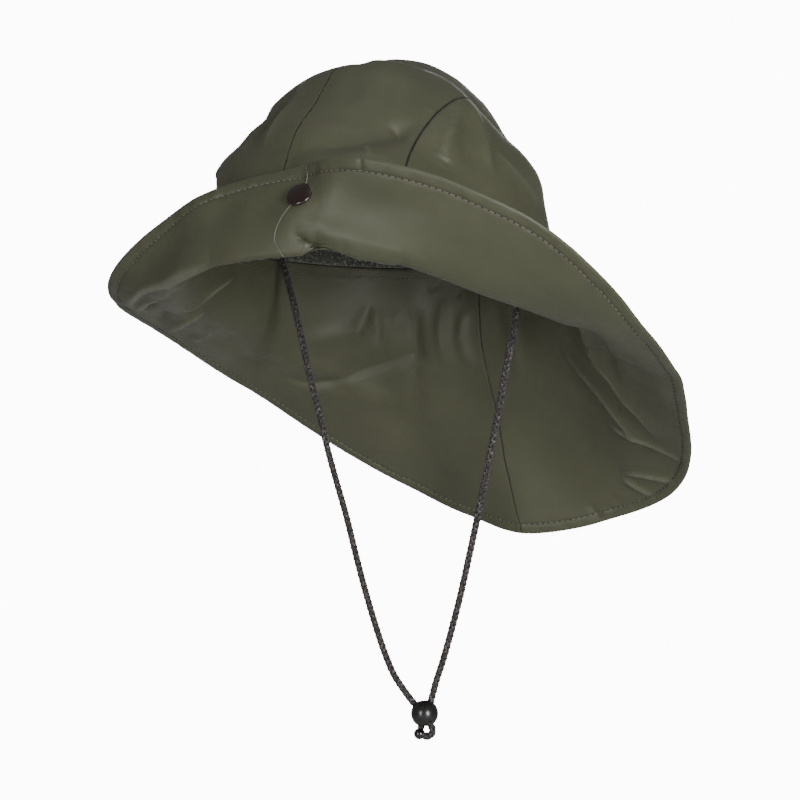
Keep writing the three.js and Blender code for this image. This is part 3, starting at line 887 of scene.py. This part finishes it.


# %% The brim's creases
# Lift is towards the underside, which is the side seen in front.
# Where a crease gives its paint number, above zero it paints a pale crest, partly rubbed coating and partly
# painted highlight, and below zero painted shade in the groove.
BRIM_CREASES = [
    # The crisp bend at the right of the front, where the brim turns up. Its crest is painted pale, partly
    # rubbed coating and partly painted highlight, and painted shade lies in the groove just inside it.
    (
        "-146 -46 -29.5, -127 -65 -26.7, -109 -76.4 -23.9, -93 -84 -24.1, -78 -92.5 -25, "
        "-60 -103 -23.5, -46 -108.6 -22.5, -34 -111.4 -21.2",
        5, 2.4, 4, 0.5, 1.0,
    ),
    ("-138 -43 -31, -118 -58 -28, -102 -66 -27, -86 -75 -26", -2.6, 3, 1, 0, -0.4),
    # The crowded folds at the right tip.
    ("-146 -40 -31, -128 -54 -30, -110 -64 -30", 3.4, 1.8, 2.4, 0.6, 0.9),
    ("-154 -3 -40, -138 -14 -38, -119 -25 -36, -106 -24 -33", 4, 2, 2.4, 0.6, 0.9),
    ("-114 -37 -34, -100 -31 -23, -94 -16 -12", 3, 2, 2.4, 0.6, 0.8),
    ("-150 -18 -38, -132 -34 -36, -120 -40 -36", -2.4, 4),
    ("-150 14 -45, -132 4 -44, -118 -6 -40", 2.2, 2.2, 2, 0.5, 0.3),
    # The long crease across the inside of the back.
    ("-128 62 -62, -106 83 -68, -62 95 -57, -39 101 -50", -3.2, 3, 2.6, 0.5, -0.3),
    ("-120 70 -70, -92 96 -76, -64 108 -78", 2.2, 9),
    ("-100 55 -47, -76 74 -38, -62 85 -38", 1.6, 6),
    # Gathers that hang from the band at the back.
    ("-62 79 -20, -69 77 -31, -76 76 -43", 1.5, 4),
    ("-50 89 -25, -59 88 -40, -66 90 -52", 1.7, 4, 1.4, 0.3),
    ("-62 78 -20, -62 85 -38, -63 93 -54", -1.4, 4),
    ("-23 98 -19, -27 100 -38, -27 107 -59", 1.5, 4, 1.3, 0.3),
    ("-42 93 -22, -42 98 -44, -39 106 -61", -1.2, 5),
    ("-10 100 -27, -14 102 -45, -11 108 -62", 1.2, 3.6),
    ("-24 98 -9, -33 95 -15", -0.9, 1.5, 1, 0.5),
    ("-13 100 -15, -15 100 -19", -0.7, 1.2, 1, 0.5),
    ("18 99 -22, 22 104 -44, 20 112 -70", 1.2, 5),
    # The folds of the left side, below the ear.
    (
        "110 20 -50, 94 60 -54, 88 74 -62, 94 81 -68, 98 92 -79, 105 102 -92, 106 117 -105",
        5, 2.2, 4, 0.6, 0.6,
    ),
    ("59 95 -52, 73 101 -72, 81 107 -84, 93 124 -107", 3.4, 2.4, 2.4, 0.5, 0.5),
    ("75 120 -95, 89 122 -103, 104 124 -110, 119 127 -119", 3, 1.8, 2.2, 0.6, 1),
    ("71 146 -123, 87 145 -125, 105 145 -130", 2.8, 1.8, 2.2, 0.6, 1),
    ("69 148 -126, 78 153 -133, 87 157 -138", 2.4, 1.6, 2.2, 0.6, 0.9),
    ("130 -14 -52, 119 17 -57, 104 58 -62, 99 84 -73, 98 96 -82", -4, 8, 0.8, 0.1, -0.35),
    # The pinch beside the front seam, and the full bulge that runs from it.
    (
        "19.3 -109.5 -10.4, 23.2 -108.9 -12.8, 26.9 -108 -15.3, 29 -107 -17.5",
        -2.4, 1.5, 1, 0.4, -0.6, (0.2, 1),
    ),
    ("25 -108.4 -14, 29 -107 -17, 32 -105 -20", -3.6, 7, 1, 0, 0, (0.2, 1)),
    ("20 -110 -8, 37 -106 -11, 56 -98 -15, 78 -86 -22", 2.4, 6, 1.2, 0.2, 0.1),
    ("42 -102 -20, 54 -94 -22, 66 -86 -24", 2.4, 8),
    ("40 -110 8, 75 -100 0, 92 -92 -4", -1.2, 8),
    ("-14 -106 8, -34 -106 4, -60 -96 -8", -1.0, 7),
    ("26 -108 14, 30 -108 4, 28 -109 -4", -0.6, 4),
    # The notch where the hem's ends meet.
    ("58.4 -110 19, 59 -111 22, 59.2 -112 27", -1.0, 0.9, 1, 0.4, -0.7, (1, 1)),
    # The hem's gathers at the back.
    ("30 163 -156, 28 158 -148", -1.2, 2.2, 1, 0.3),
    ("48 163 -152, 43 155 -141", -1.2, 2.2, 1, 0.3),
    ("64 160 -146, 58 152 -135", -0.9, 2, 1, 0.3),
]

# %% The brim's halves
SNAP_AT = (20.3, -108.5, 9.8)
SNAP_FACING = (0.104, -0.813, 0.573)
SNAP_UP = np.array([0, 0.494, 0.869])
SNAP_LEAN = 29
SNAP_REACH = 14
BRIM_COLUMNS = 350
BRIM_ROWS = 106
ROOT_HOLD = 14
BRIM_SEAM_ROLL = 0.8
HEM_ROLL = 1.4
HEM_PUFF = 0.35
STITCH_DIP = 0.4
EDGE_STEPS = np.array([
    9.5, 8.4, 7.6, 7.1, 6.8, 6.5, 6.2, 5.9, 5.4, 4.6, 3.7, 2.8, 2.0, 1.3, 0.8, 0.45, 0.2, 0.05, 0,
])


def snap_lean(places):
    """The cloth round the snap leans back with it: in above the snap and out below it."""
    away = places - SNAP_AT
    rise = away @ SNAP_UP
    near = np.exp(-((away**2).sum(axis=-1) / SNAP_REACH**2))
    return -math.tan(math.radians(SNAP_LEAN)) * rise * near


def hem_thickness(from_edge):
    """Half the cloth's thickness: drawn in where the hem is stitched, and puffed beyond."""
    dip = STITCH_DIP * bell(from_edge - HEM_WIDTH, 0.7)
    puff = HEM_PUFF * np.sin(np.pi * np.clip((HEM_WIDTH - from_edge) / HEM_WIDTH, 0, 1)) ** 0.7
    return (CLOTH_HALF + puff - dip) * round_edge(from_edge, HEM_ROLL)


def make_brim_half(name, replaced, first, last, last_turn):
    """One half of the brim, from the seam `first` round to the seam `last`."""
    steps = NEAR_SEAM / FOOT_RADIUS
    inside = np.linspace(steps[-1], math.pi - steps[-1], BRIM_COLUMNS)[1:-1]
    part = np.concatenate([steps, inside, math.pi - steps[::-1]]) / math.pi
    start = math.radians(first[-1][1])
    stop = math.radians(last[-1][1] + last_turn)
    width = brim_curves(start + (stop - start) * part)[1][:, -1:]
    hem = 1 - EDGE_STEPS / width
    main = np.linspace(0, 1, BRIM_ROWS)[None, :-1] * hem[:, :1]
    shares = np.concatenate([main, hem], axis=1)
    low = seam_angle(first, shares)
    high = seam_angle(last, shares) + math.radians(last_turn)
    places = brim_places(low + (high - low) * part[:, None], shares)
    normals = table_normals(places)
    from_edge = width * (1 - shares)
    from_root = width * shares
    creased, wear_and_painted_light = crease_lift(places, normals, BRIM_CREASES)
    forms = form_lift(brim_places, BRIM_FORMS, places)
    waves = ripples(places, depth=0.6, shortest=18, longest=80, seed=5)
    lift = np.clip(from_root / ROOT_HOLD, 0, 1) * (creased - forms + waves)
    # Stitching puckers the hem, so shorter waves run along it.
    hem_waves = ripples(places, depth=0.16, shortest=5, longest=13, seed=8) * bell(from_edge - 5, 4)
    middle = places + normals * (lift + hem_waves + snap_lean(places))[..., None]
    normals = table_normals(middle, normals)
    run = run_along(middle)
    from_seam = np.minimum(run, run[-1:] - run)
    border = round_edge(from_seam, BRIM_SEAM_ROLL) * round_edge(from_root, FOOT_ROLL)
    half = hem_thickness(from_edge) * border
    # The edge is a little rubbed. The back seam and the row of stitches are darkened with painted shade,
    # with some dirt in the seam.
    edge_rub = 0.15 * np.exp(-from_edge / 0.8)
    from_back = run if first is BACK_SEAM else run[-1:] - run
    wear_and_painted_light = np.maximum(wear_and_painted_light, edge_rub) - 0.9 * bell(from_back, SEAM_LINE)
    wear_and_painted_light = wear_and_painted_light - 0.35 * bell(from_edge - HEM_WIDTH, 0.5)
    cloth_piece(name, middle, normals, half, half, wear_and_painted_light, [cloth], "shell_fabric", replaced)
    return dict(middle=middle, normals=normals, half=half, from_edge=from_edge, from_root=from_root)


left_half = make_brim_half("left_brim_cloth", "brim_left", FRONT_SEAM, BACK_SEAM, 0)
right_half = make_brim_half("right_brim_cloth", "brim_right", BACK_SEAM, FRONT_SEAM, 360)

# %% [markdown]
# ## Seam and stitches
#
# The front seam is lapped, so its edge stands up as a thin line on the side that shows, in paler cloth that
# is a painted highlight.
# One row of stitches holds the hem on both sides, with a needle hole between each two, drawn as a dark
# patch of painted shade, and a finer row runs below the sweatband.


# %% Places along a row
BESIDE_SEAM = 6
STEPS_TO_A_STITCH = 10
THREAD_SIDES = 6
HOLE_FLATNESS = 0.45


def row_line(key, distance, side):
    """Places and normals along one row of both halves, a distance from its edge or its root."""
    lines = []
    for half in (left_half, right_half):
        row = np.abs(half[key] - distance).argmin(axis=1)
        i = np.arange(len(row))
        normal = half["normals"][i, row] * side
        lines.append((half["middle"][i, row] + normal * half["half"][i, row][:, None], normal))
    places = np.concatenate([line[0][BESIDE_SEAM:-BESIDE_SEAM] for line in lines])
    normals = np.concatenate([line[1][BESIDE_SEAM:-BESIDE_SEAM] for line in lines])
    return places, normals


def lay_stitches(bm, places, normals, pitch, thread, rise, hole):
    """A thread that runs in and out of the cloth along a line, and a dark patch of painted shade at each
    needle hole where it goes in.
    """
    run = run_along(places)
    want = np.arange(0, run[-1], pitch / STEPS_TO_A_STITCH)
    line = rows_at(want, run, places)
    up = unit(rows_at(want, run, normals))
    wave = np.cos(2 * math.pi * want / pitch)
    lay_tube(bm, line + up * (rise * (0.35 + wave) / 1.35)[:, None], thread, THREAD_SIDES, up)
    # The holes are painted shade: a string of flat dark beads on the cloth that is drawn to nothing between
    # them.
    bead = np.clip((-wave - 0.55) / 0.45, 0, 1) ** 0.5
    for face in lay_tube(bm, line, hole * bead, THREAD_SIDES, up, HOLE_FLATNESS):
        face.material_index = 1


# %% Thread and seam
BAND_ROW = 6.5
LAP_RISE = 0.75
LAP_RADIUS = 0.42
LAP_SIDES = 8
LAP_STEPS = 130

sewing = [
    speckled(
        "hem_thread", (2500, 2),
        [(0.35, (0.07, 0.07, 0.05)), (0.7, (0.16, 0.155, 0.12))],
        {"Roughness": 0.6}, (2500, 2, 0.08, 0.5),
    ),
    # Near black, for the painted shade in the needle holes.
    speckled(
        "needle_hole_painted_shade", (3000, 1),
        [(0.3, (0.01, 0.01, 0.008)), (0.7, (0.02, 0.02, 0.015))],
        {"Roughness": 0.9},
    ),
]

bm = bmesh.new()
for side in (1, -1):
    hem_row = row_line("from_edge", HEM_WIDTH, side)
    lay_stitches(bm, *hem_row, pitch=3.5, thread=0.2, rise=0.24, hole=0.62)
weld(bm)
new_piece("hem_stitches", bm, sewing, "shell_fabric")

bm = bmesh.new()
band_row = row_line("from_root", BAND_ROW, 1)
lay_stitches(bm, *band_row, pitch=2.6, thread=0.18, rise=0.15, hole=0.3)
weld(bm)
new_piece("band_stitches", bm, sewing, "shell_fabric")

# The lap leaves out the seam's two ends, which run into the crown and the hem.
seam = left_half["middle"][0] + left_half["normals"][0] * LAP_RISE
lap = smooth_line(seam[3:-8:4], LAP_STEPS)
bm = bmesh.new()
lay_tube(bm, lap, LAP_RADIUS, LAP_SIDES)
weld(bm)
# The lap's paler cloth is a painted highlight along the seam's raised edge.
new_piece("front_seam_lap", bm, [lap_highlight_cloth], "shell_fabric")

# %% [markdown]
# ## The sweatband
#
# A band of towelling lines the foot of the crown. Its loops are too many to draw one by one, so
# a fine grid is roughened by seeded noise, and the material adds pale and dark loops.

# %% The sweatband
BAND_FOOT = -0.9
BAND_TOP = 30
BAND_HALF = 1.2
WALL = 1.8
BAND_GAP = 0.3
BAND_DEPTH = WALL + BAND_GAP + BAND_HALF
BAND_COLUMNS = 600
BAND_ROWS = 36
LOOP_HEIGHT = 0.5

towelling = speckled(
    "towelling", (900, 5, 0.7),
    [(0.34, (0.018, 0.019, 0.015)), (0.5, (0.055, 0.059, 0.047)), (0.66, (0.19, 0.2, 0.17))],
    {"Roughness": 0.95, "Sheen Weight": 0.2}, (1100, 3, 0.6, 0.7),
)


def make_sweatband():
    angles = np.linspace(0, 2 * np.pi, BAND_COLUMNS) + math.pi
    rim = np.array([0, 0.15, 0.4, 0.8, 1.3])
    inside = np.linspace(BAND_FOOT + 2, BAND_TOP - 2, BAND_ROWS)
    climb = np.concatenate([BAND_FOOT + rim, inside, BAND_TOP - rim[::-1]])
    angle, height = np.meshgrid(angles, climb, indexing="ij")
    share = np.clip(height / CROWN_HEIGHT, 0, 1)
    radius = crown_radius(angle) * (1 - share**CROWN_ROUNDNESS) ** (1 / CROWN_ROUNDNESS)
    back = CROWN_SET_BACK * share**2
    outer = np.stack([np.sin(angle) * radius, back - np.cos(angle) * radius, height], axis=-1)
    normals = table_normals(outer)
    border = round_edge(np.minimum(height - BAND_FOOT, BAND_TOP - height), BAND_HALF)
    from_join = np.minimum(angle - angles[0], angles[-1] - angle) * FOOT_RADIUS
    border = border * round_edge(from_join, 1)
    pile = np.abs(np.random.default_rng(7).normal(0, LOOP_HEIGHT / 2, angle.shape)) * border
    middle = outer - normals * BAND_DEPTH
    cloth_piece(
        "towelling_sweatband", middle, normals, BAND_HALF * border, BAND_HALF * border + pile, 0 * pile,
        [towelling], "towelling", "sweatband",
    )


make_sweatband()

# %% [markdown]
# ## The snap
#
# A round enamelled cap on the turned-up front. It is turned from a profile, as a real cap is
# pressed from a disc: a low dome with a rolled rim. Its post stays as the CAD model has it.

# %% The snap
SNAP_RADIUS = 7.3
SNAP_PROFILE = [
    (0, 0), (0.8, 0), (0.95, 0.03), (0.99, 0.08), (1, 0.14), (0.985, 0.2), (0.95, 0.245), (0.9, 0.265),
    (0.85, 0.27), (0.78, 0.285), (0.6, 0.315), (0.35, 0.335), (0.15, 0.342), (0, 0.343),
]

enamel = speckled(
    "snap_enamel", (700, 3),
    [(0.3, (0.009, 0.0032, 0.0028)), (0.7, (0.0145, 0.0056, 0.0048))],
    {"Roughness": 0.22, "Coat Weight": 0.3, "Coat Roughness": 0.08}, (400, 1, 0.03, 0.25),
)
profile = [(radius * SNAP_RADIUS, height * SNAP_RADIUS) for radius, height in SNAP_PROFILE]
bm = bmesh.new()
turned(bm, profile, SNAP_AT, SNAP_FACING, steps=64)
new_piece("snap_dome", bm, [enamel], "snap_enamel", "snap_cap")
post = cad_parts["snap_post"]
post.data.materials.clear()
post.data.materials.append(enamel)

# %% [markdown]
# ## Light and floor
#
# The photograph has a plain white ground and soft, low light. Two tall soft lights stand to the
# left and right of the camera at its own height: they are the pair of highlights on the bead. A
# weak light from above and one from behind keep the crown's top and back from going black. The
# floor and the ground beyond it look white to the camera, but light the hat only faintly, as a
# lit backdrop far behind an object does.

# %% The stage
FLOOR_BELOW = 400
AMBIENT = 0.2
WHITE_GROUND = 12
LIGHTS_AIM = (0, 0, -0.02)
LIGHTS_AWAY = 1.9


def make_floor_white():
    stops = [(0.3, (0.55, 0.55, 0.55)), (0.7, (0.6, 0.6, 0.6))]
    material = speckled("pale_stage", (3, 2), stops, {"Roughness": 1})
    nodes, links = material.node_tree.nodes, material.node_tree.links
    glow = nodes.new("ShaderNodeEmission")
    set_inputs(glow, {"Strength": WHITE_GROUND})
    seen = nodes.new("ShaderNodeLightPath")
    mix = nodes.new("ShaderNodeMixShader")
    links.new(seen.outputs["Is Camera Ray"], mix.inputs["Fac"])
    links.new(nodes["Principled BSDF"].outputs["BSDF"], mix.inputs[1])
    links.new(glow.outputs["Emission"], mix.inputs[2])
    links.new(mix.outputs["Shader"], nodes["Material Output"].inputs["Surface"])
    return material


def make_stage():
    bm = bmesh.new()
    low = cad_bounds[0][2] - FLOOR_BELOW * MM
    bmesh.ops.create_grid(bm, x_segments=12, y_segments=12, size=5)
    bmesh.ops.translate(bm, vec=(0, 0, low), verts=bm.verts)
    mesh = bpy.data.meshes.new("pale_floor")
    bm.to_mesh(mesh)
    bm.free()
    mesh.materials.append(make_floor_white())
    floor = add_object("pale_floor", mesh)


def make_world():
    world = bpy.data.worlds.new("studio")
    world.use_nodes = True
    nodes, links = world.node_tree.nodes, world.node_tree.links
    seen = nodes.new("ShaderNodeLightPath")
    strength = map_range(nodes, links, seen.outputs["Is Camera Ray"], 0, 1, AMBIENT, WHITE_GROUND)
    links.new(strength, nodes["Background"].inputs["Strength"])
    set_inputs(nodes["Background"], {"Color": (1, 1, 1, 1)})
    bpy.context.scene.world = world


def area_light(name, azimuth, elevation, width, height, power):
    light = add_object(name, bpy.data.lights.new(name, "AREA"))
    light.data.shape = "RECTANGLE"
    light.data.size = width
    light.data.size_y = height
    light.data.energy = power
    way = direction(azimuth, elevation)
    light.location = Vector(LIGHTS_AIM) + way * LIGHTS_AWAY
    light.rotation_euler = way.to_track_quat("Z", "Y").to_euler()


make_stage()
make_world()
area_light("left_soft_light", -1, -2, width=0.45, height=0.9, power=18)
area_light("right_soft_light", 61, -2, width=0.45, height=0.9, power=46)
area_light("top_light", 30, 75, width=1.0, height=1.0, power=4)
area_light("rear_light", -150, 12, width=1.2, height=1.2, power=18)
